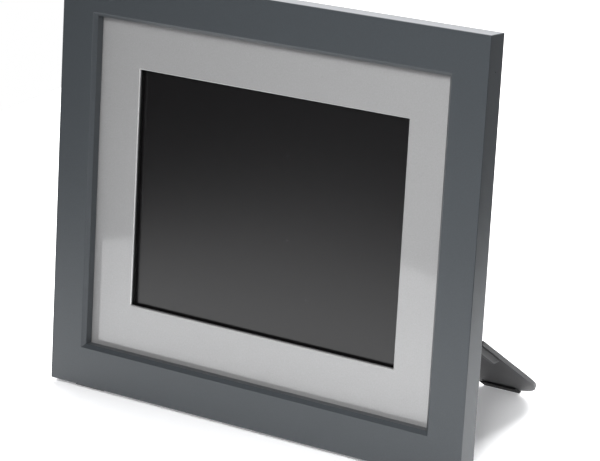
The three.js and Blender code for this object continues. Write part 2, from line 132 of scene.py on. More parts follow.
# Matt white translucent sheet: no gloss, and shadows on it stay pale because it glows faintly.
white_sheet, tree, place = new_look("translucent_white_sheet")
cloud = add_node(tree, "ShaderNodeTexNoise", {"Vector": place}, Scale=1000 / 2.5, Detail=2)
tone = add_node(
    tree, "ShaderNodeMixRGB", {"Fac": cloud.outputs["Fac"]},
    Color1=(0.875, 0.88, 0.885, 1), Color2=(0.885, 0.89, 0.895, 1),
)
finish_look(
    tree, {"Base Color": tone.outputs["Color"]}, Roughness=0.9,
    Emission_Color=(1, 1, 1.02, 1), Emission_Strength=0.26,
)

sheet_mesh = bmesh.new()
sheet_mesh.faces.new([
    sheet_mesh.verts.new(corner) for corner in (
        (sheet_left, cut_front, 0),
        (cut_right, cut_front + cut_slope * (cut_right - sheet_left), 0),
        (cut_right, sheet_front, 0),
        (sheet_right, sheet_front, 0),
        (sheet_right, sheet_back, 0),
        (sheet_left, sheet_back, 0),
    )
])
sheet_data = bpy.data.meshes.new("table_sheet")
sheet_mesh.to_mesh(sheet_data)
sheet_mesh.free()
sheet_data.materials.append(white_sheet)
sheet = bpy.data.objects.new("table_sheet", sheet_data)
bpy.context.scene.collection.objects.link(sheet)


# Lights: a large softbox hangs over and behind the object and lights the table, whose bounce lights
# the front. Two smaller ones fill from the front and from the right. The room is dim apart from a
# white wall behind.
def add_softbox(name, place, aim, size, power, spread=180):
    """A square area light at a place in metres, turned to face a point. Spread is in degrees."""
    data = bpy.data.lights.new(name, "AREA")
    data.spread = math.radians(spread)
    data.shape = "SQUARE"
    data.size = size
    data.energy = power
    light = bpy.data.objects.new(name, data)
    light.matrix_world = (
        Matrix.Translation(place)
        @ (Vector(place) - Vector(aim)).to_track_quat("Z", "Y").to_matrix().to_4x4()
    )
    bpy.context.scene.collection.objects.link(light)


add_softbox("overhead_softbox", (-0.3, 0.9, 1.5), aim=(-0.3, 0, 0), size=1.6, power=23, spread=100)
add_softbox("right_fill", (0.35, -0.7, 0.62), aim=(0.12, 0, 0.1), size=0.3, power=1.8, spread=80)
add_softbox("front_fill", (-0.05, -1.1, 1.1), aim=(0, 0, 0.05), size=0.7, power=5.6)

room = bpy.data.worlds.new("dim_room")
room.use_nodes = True
bpy.context.scene.world = room
room_nodes = room.node_tree
room_nodes.nodes.clear()
direction = add_node(room_nodes, "ShaderNodeTexCoord")
towards_wall = add_node(
    room_nodes, "ShaderNodeVectorMath", {0: direction.outputs["Generated"]}, operation="DOT_PRODUCT",
)
towards_wall.inputs[1].default_value = (-math.sin(camera_turn), math.cos(camera_turn), 0)
wall_glow = add_node(
    room_nodes, "ShaderNodeMapRange", {"Value": towards_wall.outputs["Value"]},
    interpolation_type="SMOOTHSTEP", From_Min=0.35, From_Max=0.75, To_Min=0.04, To_Max=1.7,
)
room_light = add_node(
    room_nodes, "ShaderNodeBackground", {"Strength": wall_glow.outputs["Result"]}, Color=(1, 1, 1.03, 1),
)
backdrop = add_node(room_nodes, "ShaderNodeBackground", Color=(1, 1, 1, 1), Strength=1.0)
path = add_node(room_nodes, "ShaderNodeLightPath")
seen = add_node(
    room_nodes, "ShaderNodeMixShader",
    {0: path.outputs["Is Camera Ray"], 1: room_light.outputs[0], 2: backdrop.outputs[0]},
)
add_node(room_nodes, "ShaderNodeOutputWorld", {"Surface": seen.outputs[0]})
bpy.context.scene.view_settings.view_transform = "Standard"


# Picture frame: one die-cast aluminium ring with crisp edges, a bevel round its opening, a shadow
# gap in front of the mat and a pocket behind. It is sprayed with a satin metallic lacquer.
frame_half_width = 127.0
frame_half_height = 109.5
face_side = 19.6
face_top = 20.6
opening_bevel = 1.9
ledge_depth = 6.8
shadow_gap = 0.5
shadow_gap_depth = 0.8
pocket_wall_side = 9.5
pocket_wall_top = 9.3
outer_round = 0.45
bevel_round = 0.18
pinhole_radius = 0.35
pinhole_depth = 1.5
pinhole_below_top = 18


def round_edges(mesh, edges, radius, segments=3):
    """Rounds edges of a bmesh by a radius in millimetres."""
    bmesh.ops.bevel(
        mesh, geom=list(edges), offset=radius, offset_type="OFFSET", segments=segments,
        profile=0.5, affect="EDGES", clamp_overlap=True, material=-1,
    )


def ring_of_sections(sections):
    """A closed rectangular ring. Each corner of its section is (half width, half height, depth)."""
    mesh = bmesh.new()
    loops = []
    for half_width, half_height, depth in sections:
        corners = [
            mesh.verts.new((side * half_width, depth, end * half_height))
            for side, end in ((-1, -1), (1, -1), (1, 1), (-1, 1))
        ]
        loops.append([mesh.edges.new((corners[i - 1], corners[i])) for i in range(4)])
    for i in range(len(loops)):
        bmesh.ops.bridge_loops(mesh, edges=loops[i - 1] + loops[i])
    bmesh.ops.recalc_face_normals(mesh, faces=mesh.faces)
    return mesh, loops


along_x = Matrix.Rotation(math.pi / 2, 4, "Y")
along_y = Matrix.Rotation(math.pi / 2, 4, "X")


def add_post(mesh, radius, length, middle, turn=along_y, segments=32):
    """Adds a cylinder about its middle, along y unless it is turned otherwise."""
    bmesh.ops.create_cone(
        mesh, cap_ends=True, cap_tris=False, segments=segments, radius1=radius, radius2=radius,
        depth=length, matrix=Matrix.Translation(middle) @ turn,
    )


def combine(base, tool, operation="DIFFERENCE"):
    """Cuts the shapes in one bmesh from another, or joins them to it, and gives the result."""
    blanks = []
    for mesh in (base, tool):
        data = bpy.data.meshes.new("blank")
        mesh.to_mesh(data)
        mesh.free()
        blank = bpy.data.objects.new("blank", data)
        bpy.context.scene.collection.objects.link(blank)
        blanks.append(blank)
    step = blanks[0].modifiers.new("combine", "BOOLEAN")
    step.operation = operation
    step.object = blanks[1]
    step.solver = "EXACT"
    result = bmesh.new()
    result.from_object(blanks[0], bpy.context.evaluated_depsgraph_get())
    for blank in blanks:
        data = blank.data
        bpy.data.objects.remove(blank)
        bpy.data.meshes.remove(data)
    bmesh.ops.remove_doubles(result, verts=result.verts, dist=0.0005)
    return result


def add_piece(name, mesh, material, stands_for, body="body", place=on_panel):
    """Turns a bmesh in millimetres into a finished piece that replaces CAD nodes on a body."""
    bmesh.ops.transform(mesh, matrix=place, verts=mesh.verts)
    data = bpy.data.meshes.new(name)
    mesh.to_mesh(data)
    mesh.free()
    data.materials.append(material)
    data.shade_smooth()
    data.set_sharp_from_angle(angle=math.radians(40))
    piece = bpy.data.objects.new(name, data)
    bpy.context.scene.collection.objects.link(piece)
    piece.modifiers.new("face_weighted_normals", "WEIGHTED_NORMAL").keep_sharp = True
    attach(piece, body)
    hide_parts(*stands_for)


opening = (frame_half_width - face_side, frame_half_height - face_top)
throat = (opening[0] - opening_bevel, opening[1] - opening_bevel)
undercut = (throat[0] + shadow_gap, throat[1] + shadow_gap)
pocket = (frame_half_width - pocket_wall_side, frame_half_height - pocket_wall_top)
ring, ring_loops = ring_of_sections([
    (frame_half_width, frame_half_height, 0),
    (*opening, 0),
    (*throat, opening_bevel),
    (*throat, ledge_depth - shadow_gap_depth),
    (*undercut, ledge_depth - shadow_gap_depth),
    (*undercut, ledge_depth),
    (*pocket, ledge_depth),
    (*pocket, frame_depth),
    (frame_half_width, frame_half_height, frame_depth),
])
outer_corners = [
    edge for edge in ring.edges
    if all(abs(vert.co.x) == frame_half_width for vert in edge.verts)
    and abs(edge.verts[0].co.y - edge.verts[1].co.y) > 1
]
round_edges(ring, ring_loops[0] + ring_loops[-1] + outer_corners, outer_round)
soft_edges = [
    edge for edge in ring.edges
    if all(vert.co.y in (0, opening_bevel) and abs(vert.co.x) < opening[0] + 0.1 for vert in edge.verts)
    and abs(edge.verts[0].co.y - edge.verts[1].co.y) < 0.01
]
round_edges(ring, soft_edges, bevel_round, 2)
pinhole = bmesh.new()
add_post(
    pinhole, pinhole_radius, 2 * pinhole_depth,
    (frame_half_width, frame_depth / 2, frame_half_height - pinhole_below_top),
    turn=along_x, segments=16,
)
ring = combine(ring, pinhole)

# Satin metallic lacquer on cast aluminium: a blue-grey that is dark where it faces the dim room and
# pale at a low angle, with fine flakes and a faint unevenness in the gloss where the spray
# overlapped. The flakes are drawn at 0.55 mm, about ten times their real size, so that they show.
lacquer, tree, place = new_look("satin_metallic_lacquer")
flake = add_node(tree, "ShaderNodeTexNoise", {"Vector": place}, Scale=1000 / 0.55, Detail=2)
spray = add_node(tree, "ShaderNodeTexNoise", {"Vector": place}, Scale=1000 / 45, Detail=3)
tone = add_node(
    tree, "ShaderNodeMixRGB", {"Fac": flake.outputs["Fac"]},
    Color1=linear("#373b3e"), Color2=linear("#42464a"),
)
gloss = add_node(
    tree, "ShaderNodeMapRange", {"Value": spray.outputs["Fac"]}, To_Min=0.29, To_Max=0.33,
)
relief = add_node(
    tree, "ShaderNodeBump", {"Height": flake.outputs["Fac"]}, Strength=0.25, Distance=0.00002,
)
finish_look(
    tree,
    {"Base Color": tone.outputs["Color"], "Roughness": gloss.outputs["Result"],
     "Normal": relief.outputs["Normal"]},
    Metallic=0.1,
)
add_piece("picture_frame", ring, lacquer, ["front_frame"])

# Mat: a silver sheet-metal border that lies against the frame's ledge. It is lacquered and clear
# coated, and then its window is cut with a small bevel that shows as a thin bright line.
mat_front = 7.1
mat_back = 8.3
mat_half_width = 117.1
mat_half_height = 99.6
window_half_width = 81.1
window_half_height = 62.05
window_bevel = 0.45
window_round = 0.08
mat_ring, mat_loops = ring_of_sections([
    (mat_half_width, mat_half_height, mat_front),
    (window_half_width + window_bevel, window_half_height + window_bevel, mat_front),
    (window_half_width, window_half_height, mat_front + window_bevel),
    (window_half_width, window_half_height, mat_back),
    (mat_half_width, mat_half_height, mat_back),
])
round_edges(mat_ring, mat_loops[1] + mat_loops[2], window_round, 2)

# Silver lacquer under a clear coat: pale and even, with a soft mirror of the table's edge in the
# coat. The flakes give it a fine sparkle, and are drawn at 0.6 mm, about ten times their real size.
silver, tree, place = new_look("silver_lacquer_under_clear_coat")
flake = add_node(tree, "ShaderNodeTexNoise", {"Vector": place}, Scale=1000 / 0.6, Detail=2)
tone = add_node(
    tree, "ShaderNodeMixRGB", {"Fac": flake.outputs["Fac"]},
    Color1=linear("#777777"), Color2=linear("#8a8a8b"),
)
relief = add_node(
    tree, "ShaderNodeBump", {"Height": flake.outputs["Fac"]}, Strength=0.2, Distance=0.00002,
)

# Bare metal on the cut edges, which face away from the front: it mirrors the table brightly.
normal = add_node(tree, "ShaderNodeNewGeometry")
facing = add_node(
    tree, "ShaderNodeVectorMath", {0: normal.outputs["Normal"]}, operation="DOT_PRODUCT",
)
facing.inputs[1].default_value = (on_panel.to_3x3() @ Vector((0, -1, 0))).normalized()
bare = add_node(
    tree, "ShaderNodeMapRange", {"Value": facing.outputs["Value"]},
    From_Min=0.75, From_Max=0.95, To_Min=1.0, To_Max=0.1,
)
edged_tone = add_node(
    tree, "ShaderNodeMixRGB", {"Fac": bare.outputs["Result"], "Color1": tone.outputs["Color"]},
    Color2=linear("#d2d2d2"),
)
finish_look(
    tree,
    {"Base Color": edged_tone.outputs["Color"], "Metallic": bare.outputs["Result"],
     "Normal": relief.outputs["Normal"]},
    Roughness=0.45, Coat_Weight=1.0, Coat_IOR=1.68, Coat_Roughness=0.05,
)
add_piece("silver_mat", mat_ring, silver, ["mat_plate"])


# Display: two sheets of thin glass with a polarising film on the front, held behind a foam gasket.
# It is switched off, so only the film's matt anti-glare finish shows.
display_front = 10.5
display_back = 12.0
display_half_width = 90.0
display_half_height = 69.0
film_margin = 1.5
film_thickness = 0.2
film_edge = 0.05
glass_round = 0.15


def add_block(mesh, size, middle, rounding=0.0, segments=3, along=None):
    """Adds a box about its middle and rounds its edges, or only the edges along one axis."""
    verts = bmesh.ops.create_cube(mesh, size=1)["verts"]
    bmesh.ops.scale(mesh, vec=size, verts=verts)
    bmesh.ops.translate(mesh, vec=middle, verts=verts)
    if rounding:
        own = set(verts)
        edges = [edge for edge in mesh.edges if edge.verts[0] in own and edge.verts[1] in own]
        if along is not None:
            edges = [
                edge for edge in edges
                if abs(edge.verts[0].co[along] - edge.verts[1].co[along]) > 0.9 * size[along]
            ]
        round_edges(mesh, edges, rounding, segments)


glass = bmesh.new()
glass_front = display_front + film_thickness
add_block(
    glass, (2 * display_half_width, display_back - glass_front, 2 * display_half_height),
    (0, (glass_front + display_back) / 2, 0), glass_round, 2,
)
glass.faces.ensure_lookup_table()
front_face = min(glass.faces, key=lambda face: face.calc_center_median().y)
bmesh.ops.inset_region(glass, faces=[front_face], thickness=film_margin)
bmesh.ops.inset_region(glass, faces=[front_face], thickness=film_edge, depth=film_thickness)

# Anti-glare polarising film: near black, with a matt surface that blurs what it mirrors, and a few
# specks of dust. Its frost is drawn at 0.3 mm, several times its real size, so that it shows.
film, tree, place = new_look("anti_glare_polarising_film")
dust = add_node(tree, "ShaderNodeTexVoronoi", {"Vector": place}, Scale=1000 / 17)
speck = add_node(
    tree, "ShaderNodeMapRange", {"Value": dust.outputs["Distance"]},
    From_Min=0.012, From_Max=0.02, To_Min=1.0, To_Max=0.0,
)
tone = add_node(
    tree, "ShaderNodeMixRGB", {"Fac": speck.outputs["Result"]},
    Color1=linear("#0b0a0b"), Color2=linear("#55565a"),
)
frost = add_node(tree, "ShaderNodeTexNoise", {"Vector": place}, Scale=1000 / 0.3, Detail=1)
relief = add_node(
    tree, "ShaderNodeBump", {"Height": frost.outputs["Fac"]}, Strength=0.1, Distance=0.00001,
)
finish_look(
    tree, {"Base Color": tone.outputs["Color"], "Normal": relief.outputs["Normal"]},
    Roughness=0.23, IOR=1.56,
)
add_piece("display_panel", glass, film, ["lcd_glass"])

# Gasket: a die-cut ring of black foam between the mat and the display. It fills the recess round
# the window with black and keeps dust out.
gasket_front = 8.6
gasket_back = 9.4
gasket_half_width = 89.0
gasket_half_height = 70.0
gasket_gap = 0.3
gasket_round = 0.2
gasket_middle = (0, (gasket_front + gasket_back) / 2, 0)
gasket = bmesh.new()
add_block(
    gasket, (2 * gasket_half_width, gasket_back - gasket_front, 2 * gasket_half_height), gasket_middle,
)
window = bmesh.new()
add_block(
    window, (2 * (window_half_width + gasket_gap), 2, 2 * (window_half_height + gasket_gap)), gasket_middle,
)
gasket = combine(gasket, window)
round_edges(gasket, [
    edge for edge in gasket.edges
    if all(
        abs(vert.co.x) < window_half_width + 2 * gasket_gap and abs(vert.co.y - gasket_front) < 0.01
        for vert in edge.verts
    )
], gasket_round, 3)

# Closed-cell foam: soot black and dull, with the fine pores of its cut cells.
foam, tree, place = new_look("closed_cell_foam")
pores = add_node(tree, "ShaderNodeTexVoronoi", {"Vector": place}, Scale=1000 / 0.5)
tone = add_node(
    tree, "ShaderNodeMixRGB", {"Fac": pores.outputs["Distance"]},
    Color1=linear("#080808"), Color2=linear("#1a1a1a"),
)
relief = add_node(
    tree, "ShaderNodeBump", {"Height": pores.outputs["Distance"]}, Strength=0.6, Distance=0.0001,
)
finish_look(
    tree, {"Base Color": tone.outputs["Color"], "Normal": relief.outputs["Normal"]}, Roughness=0.95,
)
add_piece("foam_gasket", gasket, foam, ["lcd_gasket"])


# Rear cover: an injection-moulded ABS tub with a flange, screwed into the frame's pocket. It has
# vents, speaker slots, holes for the keys, keyholes for wall screws and ports in its side.
flange_front = 10.7
flange_back = 12.2
cover_half_width = 112.0
cover_half_height = 97.5
cover_back = 31.0
cover_wall = 2.0
cover_corner = 8.0
cover_round = 2.0
cover_screws = (114.6, 78)
screw_hole = 1.3
keyhole_places = (-60, 60)
keyhole_height = 58.5
keyhole_rim = 1.0
keyhole_rim_width = 18
keyhole_rim_length = 28
keyhole_rim_middle = 61.5
keyhole_rim_corner = 4
keyhole_head = 4.8
neck_width = 4.6
neck_length = 11
hinge_middle = 82
hinge_screw_offset = 20
hinge_screw_height = -58.5
key_height = 81.5
key_places = {"power": -92, "menu": -76, "previous": -60, "next": -44, "enter": -28}
key_radius = 4.5
key_gap = 0.3
vent_count = 11
vent_first = 18
vent_pitch = 7
vent_height = 81
vent_width = 2.4
vent_length = 15
speaker_offset = 86
speaker_height = -76.5
speaker_radius = 12
speaker_slot_width = 2
speaker_slot_pitch = 4.2

tub = bmesh.new()
add_block(
    tub, (2 * cover_half_width, cover_back - flange_front, 2 * cover_half_height),
    (0, (flange_front + cover_back) / 2, 0), cover_corner, 10, along=1,
)
back_rim = [
    edge for edge in tub.edges if all(abs(vert.co.y - cover_back) < 0.01 for vert in edge.verts)
]
round_edges(tub, back_rim, cover_round, 5)
joined = bmesh.new()
add_block(
    joined, (2 * mat_half_width, flange_back - flange_front, 2 * mat_half_height),
    (0, (flange_front + flange_back) / 2, 0), 0.3, 2,
)
for x in keyhole_places:
    add_block(
        joined, (keyhole_rim_width, keyhole_rim + 1, keyhole_rim_length),
        (x, cover_back + (keyhole_rim - 1) / 2, keyhole_rim_middle), keyhole_rim_corner, 8, along=1,
    )
tub = combine(tub, joined, "UNION")
hollow = bmesh.new()
inside_back = cover_back - cover_wall
add_block(
    hollow, (2 * (cover_half_width - cover_wall), inside_back, 2 * (cover_half_height - cover_wall)),
    (0, inside_back / 2, 0), cover_corner - cover_wall, 6, along=1,
)
tub = combine(tub, hollow)

holes = bmesh.new()
through = 2 * (cover_wall + keyhole_rim) + 2
for i in range(vent_count):
    add_block(
        holes, (vent_width, through, vent_length), (vent_first + vent_pitch * i, cover_back, vent_height),
        vent_width / 2 - 0.05, 5, along=1,
    )
for side in (-1, 1):
    for i in range(-2, 3):
        from_middle = speaker_slot_pitch * i
        slot_length = 2 * math.sqrt(speaker_radius ** 2 - from_middle ** 2)
        add_block(
            holes, (speaker_slot_width, through, slot_length),
            (side * speaker_offset + from_middle, cover_back, speaker_height),
            speaker_slot_width / 2 - 0.05, 5, along=1,
        )
    for end in (-1, 1):
        add_post(
            holes, screw_hole, 6, (side * cover_screws[0], flange_back, end * cover_screws[1]), segments=20,
        )
for x in key_places.values():
    add_post(holes, key_radius + key_gap, through, (x, cover_back, key_height), segments=48)
for side in (-1, 1):
    add_post(
        holes, screw_hole, through,
        (hinge_middle + side * hinge_screw_offset, cover_back, hinge_screw_height), segments=20,
    )
tub = combine(tub, holes)

# The openings in the side wall are the memory card's slot, the data port, the power inlet and the
# power slide's slot. Their sizes and places are (depth, height).
heads = bmesh.new()
for x in keyhole_places:
    add_post(heads, keyhole_head, through, (x, cover_back, keyhole_height), segments=40)
side_wall = -cover_half_width + cover_wall / 2
side_cut = 2 * cover_wall
card_slot, card_slot_place = (3.2, 25.4), (22.8, 31)
data_port, data_port_place = (6.2, 13.8), (24.1, 1.2)
power_inlet_radius, power_inlet_place = 3.4, (25.0, -25)
slide_slot, slide_slot_place = (4, 7.8), (23.4, -36.4)
add_block(heads, (side_cut, *card_slot), (side_wall, *card_slot_place), 0.4, 2, along=0)
add_block(heads, (side_cut, *data_port), (side_wall, *data_port_place), 0.5, 3, along=0)
add_post(heads, power_inlet_radius, side_cut, (side_wall, *power_inlet_place), turn=along_x)
add_block(heads, (side_cut, *slide_slot), (side_wall, *slide_slot_place), 0.4, 3, along=0)
tub = combine(tub, heads)

# The keyholes' necks overlap their heads, so they are cut after them. Each is the upper half of a
# slot with round ends.
necks = bmesh.new()
for x in keyhole_places:
    add_block(
        necks, (neck_width, through, 2 * neck_length), (x, cover_back, keyhole_height),
        neck_width / 2 - 0.1, 8, along=1,
    )
    bmesh.ops.bisect_plane(
        necks, geom=[item for kind in (necks.verts, necks.edges, necks.faces) for item in kind],
        plane_co=(x, cover_back, keyhole_height), plane_no=(0, 0, -1), clear_outer=True,
    )
bmesh.ops.holes_fill(necks, edges=[edge for edge in necks.edges if edge.is_boundary])
bmesh.ops.recalc_face_normals(necks, faces=necks.faces)
tub = combine(tub, necks)


def grained_surface(name, dark, light, grit, depth, roughness, **settings):
    """Plastic, rubber or coated glass with an even grain. Its grit and depth are in millimetres."""
    material, tree, place = new_look(name)
    grain = add_node(tree, "ShaderNodeTexNoise", {"Vector": place}, Scale=1000 / grit, Detail=3)
    flow = add_node(tree, "ShaderNodeTexNoise", {"Vector": place}, Scale=1000 / 40, Detail=2)
    tone = add_node(
        tree, "ShaderNodeMixRGB", {"Fac": grain.outputs["Fac"]}, Color1=linear(dark), Color2=linear(light),
    )
    gloss = add_node(
        tree, "ShaderNodeMapRange", {"Value": flow.outputs["Fac"]},
        To_Min=roughness - 0.05, To_Max=roughness + 0.05,
    )
    relief = add_node(
        tree, "ShaderNodeBump", {"Height": grain.outputs["Fac"]}, Strength=0.6, Distance=depth / 1000,
    )
    finish_look(
        tree,
        {"Base Color": tone.outputs["Color"], "Roughness": gloss.outputs["Result"],
         "Normal": relief.outputs["Normal"]},
        **settings,
    )
    return material


# Spark-eroded ABS: charcoal, dull, with an even pebbled grain that hides fingerprints. The grain
# is drawn at 0.8 mm, three times its real size, so that it shows.
cover_abs = grained_surface("spark_eroded_abs", "#191a1b", "#2a2b2d", 0.8, 0.12, 0.55, IOR=1.53)
add_piece("rear_shell", tub, cover_abs, ["rear_cover"])


# Control keys: five round moulded ABS buttons with a dished top and a raised mark for on, menu,
# back, forward and enter. Each sits in a hole of the cover over its switch.
def spun_profile(points, steps=48):
    """A closed solid of revolution about y. The points are (radius, depth), from axis to axis."""
    mesh = bmesh.new()
    verts = [mesh.verts.new((radius, depth, 0)) for radius, depth in points]
    edges = [mesh.edges.new(pair) for pair in zip(verts, verts[1:])]
    bmesh.ops.spin(
        mesh, geom=verts + edges, cent=(0, 0, 0), axis=(0, 1, 0), angle=2 * math.pi,
        steps=steps, use_merge=True,
    )
    bmesh.ops.remove_doubles(mesh, verts=mesh.verts, dist=0.001)
    bmesh.ops.recalc_face_normals(mesh, faces=mesh.faces)
    return mesh


key_foot = 26.2
key_foot_radius = 1.8
key_collar = key_radius + 1.2
key_collar_back = inside_back - 0.3
key_top = cover_back + 1.2
mark_depth = 0.5
mark_middle = key_top - mark_depth / 2


def add_key_mark(mesh, name):
    """Adds the mark of one key, which rises out of its dish: a bar, three lines, a disc or a triangle."""
    if name == "power":
        add_block(mesh, (0.6, mark_depth, 3.2), (0, mark_middle, 0), 0.1, 2)
    elif name == "menu":
        for row in (-1, 0, 1):
            add_block(mesh, (3, mark_depth, 0.5), (0, mark_middle, row), 0.1, 2)
    elif name == "enter":
        add_post(mesh, 1.1, mark_depth, (0, mark_middle, 0), segments=32)
    else:
        towards = 0 if name == "next" else math.pi
        turn = Matrix.Rotation(towards, 4, "Y") @ along_y @ Matrix.Rotation(math.pi / 2, 4, "Z")
        add_post(mesh, 1.7, mark_depth, (0, mark_middle, 0), turn=turn, segments=3)


# Moulded ABS of the keys: mid grey, smoother than the cover and a little glossier. The grain is
# drawn at 0.5 mm, about twice its real size.
key_abs = grained_surface("fine_textured_abs_keys", "#46484b", "#55575a", 0.5, 0.03, 0.42, IOR=1.53)
for name, x in key_places.items():
    button = spun_profile([
        (0, key_foot), (key_foot_radius, key_foot), (key_foot_radius, key_foot + 1),
        (key_collar, key_foot + 1), (key_collar, key_collar_back), (key_radius, key_collar_back),
        (key_radius, key_top - 0.5), (key_radius - 0.15, key_top - 0.15), (key_radius - 0.5, key_top),
        (key_radius - 1, key_top - 0.05), (2, key_top - 0.12), (0, key_top - 0.15),
    ])
    mark = bmesh.new()
    add_key_mark(mark, name)
    button = combine(button, mark, "UNION")
    add_piece(
        f"key_cap_{name}", button, key_abs, [f"button_{name}"], f"key_{name}",
        on_panel @ Matrix.Translation((x, 0, key_height)),
    )

# Power slide: a small moulded ABS cap with three grip ribs. It slides up the cover's side, and its
# stem moves the switch on the board.
slide_middle = -37.9
slide_cap = (2.6, 3.2, 4)
slide_stem = (5, 2, 2)
slide_rib = (0.4, 2.6, 0.5)
slide = bmesh.new()
add_block(slide, slide_cap, (-cover_half_width - 0.3, slide_slot_place[0], slide_middle), 0.3, 3)
grip = bmesh.new()
add_block(grip, slide_stem, (-cover_half_width + 2, slide_slot_place[0], slide_middle), 0.1, 2)
for row in (-1, 0, 1):
    add_block(
        grip, slide_rib, (-cover_half_width - 1.6, slide_slot_place[0], slide_middle + row), 0.1, 2,
    )
slide = combine(slide, grip, "UNION")
add_piece("power_slide_cap", slide, key_abs, ["power_switch_knob"], "power_slide")


# Screws: cross-recessed pan heads of nickel-plated steel. Four hold the cover, two the hinge, four
# the display's clamps and two the main board.
def plated_metal(name, dark, light, roughness, grain):
    """Plated sheet or wire metal with a fine uneven grain, its size in millimetres."""
    material, tree, place = new_look(name)
    stretched = add_node(tree, "ShaderNodeMapping", {"Vector": place}, Scale=(1, 1, 0.2))
    haze = add_node(
        tree, "ShaderNodeTexNoise", {"Vector": stretched.outputs["Vector"]}, Scale=1000 / grain, Detail=4,
    )
    tone = add_node(
        tree, "ShaderNodeMixRGB", {"Fac": haze.outputs["Fac"]}, Color1=linear(dark), Color2=linear(light),
    )
    gloss = add_node(
        tree, "ShaderNodeMapRange", {"Value": haze.outputs["Fac"]},
        To_Min=roughness - 0.05, To_Max=roughness + 0.05,
    )
    finish_look(
        tree, {"Base Color": tone.outputs["Color"], "Roughness": gloss.outputs["Result"]}, Metallic=1.0,
    )
    return material


head_radius = 2.1
head_height = 1.3
shank_radius = 1.0
clamp_screws = (107.4, 24)
board_screw_side = -87
board_screw_heights = {"low": -15.5, "top": 12.5}

# Bright nickel plate: clear, slightly warm reflections with a faint haze.
nickel = plated_metal("nickel_plated_steel", "#b4b3ae", "#cfcec9", 0.2, 1.5)


def add_screw(name, x, z, head_front, shank):
    """One pan-head screw along y, its head behind the depth given and its shank in front."""
    screw = spun_profile([
        (0, head_front - shank), (shank_radius - 0.3, head_front - shank),
        (shank_radius, head_front - shank + 0.4), (shank_radius, head_front), (head_radius, head_front),
        (head_radius, head_front + 0.45), (head_radius - 0.2, head_front + 0.85),
        (head_radius - 0.7, head_front + 1.15), (0.8, head_front + head_height),
        (0, head_front + head_height),
    ], 32)
    for size in ((2.3, 1.6, 0.5), (0.5, 1.6, 2.3)):
        recess = bmesh.new()
        add_block(recess, size, (0, head_front + head_height, 0))
        screw = combine(screw, recess)
    add_piece(
        name, screw, nickel, [name.replace("steel_", "")],
        place=on_panel @ Matrix.Translation((x, 0, z)),
    )


corners = {"low_left": (-1, -1), "low_right": (1, -1), "top_left": (-1, 1), "top_right": (1, 1)}
for where, (side, end) in corners.items():
    add_screw(
        f"steel_cover_screw_{where}", side * cover_screws[0], end * cover_screws[1],
        head_front=12.5, shank=9.5,
    )
    add_screw(
        f"steel_clamp_screw_{where}", side * clamp_screws[0], end * clamp_screws[1],
        head_front=10.1, shank=7.1,
    )
for where, height in board_screw_heights.items():
    add_screw(f"steel_board_screw_{where}", board_screw_side, height, head_front=21.2, shank=3.5)
for where, side in (("left", -1), ("right", 1)):
    add_screw(
        f"steel_hinge_screw_{where}", hinge_middle + side * hinge_screw_offset, hinge_screw_height,
        head_front=33.1, shank=7.1,
    )

# Hinge: a zinc-plated steel bracket with two ears, screwed through the cover. A steel pin with
# rounded ends runs through the ears and the leg's barrel.
pivot = on_panel.inverted() @ Vector(frame["joints"][0]["pos_m"])
bracket_front = 31.3
bracket_size = (48, 1.5, 9)
bracket_height = -59
ear_foot = -59.5
ear_offset = 13
ear_width = 5
ear_radius = 3.8
ear_round = 0.25
pin_radius = 1.5
pin_length = 34
pin_round = 0.4
pin_hole = 1.8


def prism(outline, middle, width):
    """A bar along x with the outline given in depth and height."""
    mesh = bmesh.new()
    face = mesh.faces.new([mesh.verts.new((middle - width / 2, y, z)) for y, z in outline])
    grown = bmesh.ops.extrude_face_region(mesh, geom=[face])
    bmesh.ops.translate(
        mesh, vec=(width, 0, 0), verts=[v for v in grown["geom"] if isinstance(v, bmesh.types.BMVert)],
    )
    bmesh.ops.recalc_face_normals(mesh, faces=mesh.faces)
    return mesh


bracket = bmesh.new()
add_block(
    bracket, bracket_size, (hinge_middle, bracket_front + bracket_size[1] / 2, bracket_height),
    1.5, 5, along=1,
)
ear_outline = [(bracket_front, ear_foot), (pivot.y + 1, ear_foot)]
arc_steps = 12
for i in range(arc_steps + 1):
    angle = math.radians(-45 + 135 * i / arc_steps)
    ear_outline.append((pivot.y + ear_radius * math.cos(angle), pivot.z + ear_radius * math.sin(angle)))
ear_outline.append((bracket_front, pivot.z + ear_radius))
for side in (-1, 1):
    ear = prism(ear_outline, hinge_middle + side * ear_offset, ear_width)
    round_edges(ear, [
        edge for edge in ear.edges if abs(edge.verts[0].co.x - edge.verts[1].co.x) < 0.01
    ], ear_round, 2)
    bracket = combine(bracket, ear, "UNION")
drills = bmesh.new()
add_post(drills, pin_hole, 60, pivot, turn=along_x, segments=32)
for side in (-1, 1):
    add_post(
        drills, screw_hole, 6,
        (hinge_middle + side * hinge_screw_offset, bracket_front, hinge_screw_height), segments=24,
    )
bracket = combine(bracket, drills)

# Dull zinc plate: blue-grey with a soft crystalline mottle.
zinc = plated_metal("zinc_plated_steel", "#7d8085", "#9b9ea2", 0.42, 2.5)
add_piece("folded_hinge_bracket", bracket, zinc, ["hinge_bracket"])

pin = bmesh.new()
add_post(pin, pin_radius, pin_length, pivot, turn=along_x, segments=32)
round_edges(pin, [
    edge for edge in pin.edges if any(len(face.verts) > 4 for face in edge.link_faces)
], pin_round, 3)
add_piece("steel_hinge_pin", pin, nickel, ["hinge_pin"])

